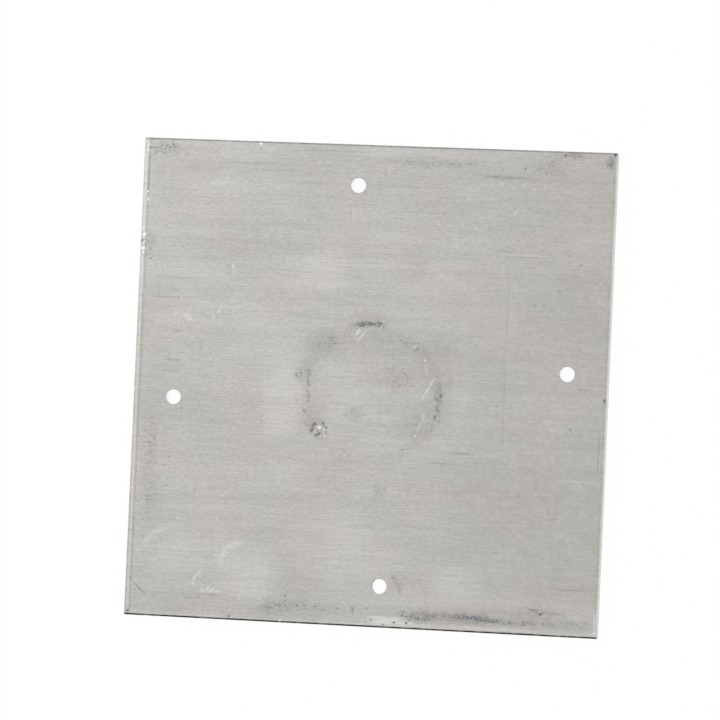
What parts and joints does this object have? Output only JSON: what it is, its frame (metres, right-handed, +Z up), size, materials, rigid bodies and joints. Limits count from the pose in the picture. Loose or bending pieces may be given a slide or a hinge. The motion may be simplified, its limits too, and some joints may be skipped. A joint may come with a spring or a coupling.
{
  "type": "cover plate",
  "caption": "Flat square cover plate of mill-finish aluminium sheet with sheared edges and screw holes set on a circle, for closing an opening or box.",
  "frame": {"origin": "centre of the underside, where the plate lies on a surface", "axes": "+Z up out of the face that shows, along the screws; +X and +Y along the plate's straight edges, +X along the rolling grain"},
  "size_m": [0.1524, 0.1524, 0.0032],
  "materials": {
    "mill_aluminium": "mill-rolled sheet, dull, scuffed and stained"
  },
  "bodies": {
    "root": {"cover_plate": "mill_aluminium"}
  },
  "joints": []
}
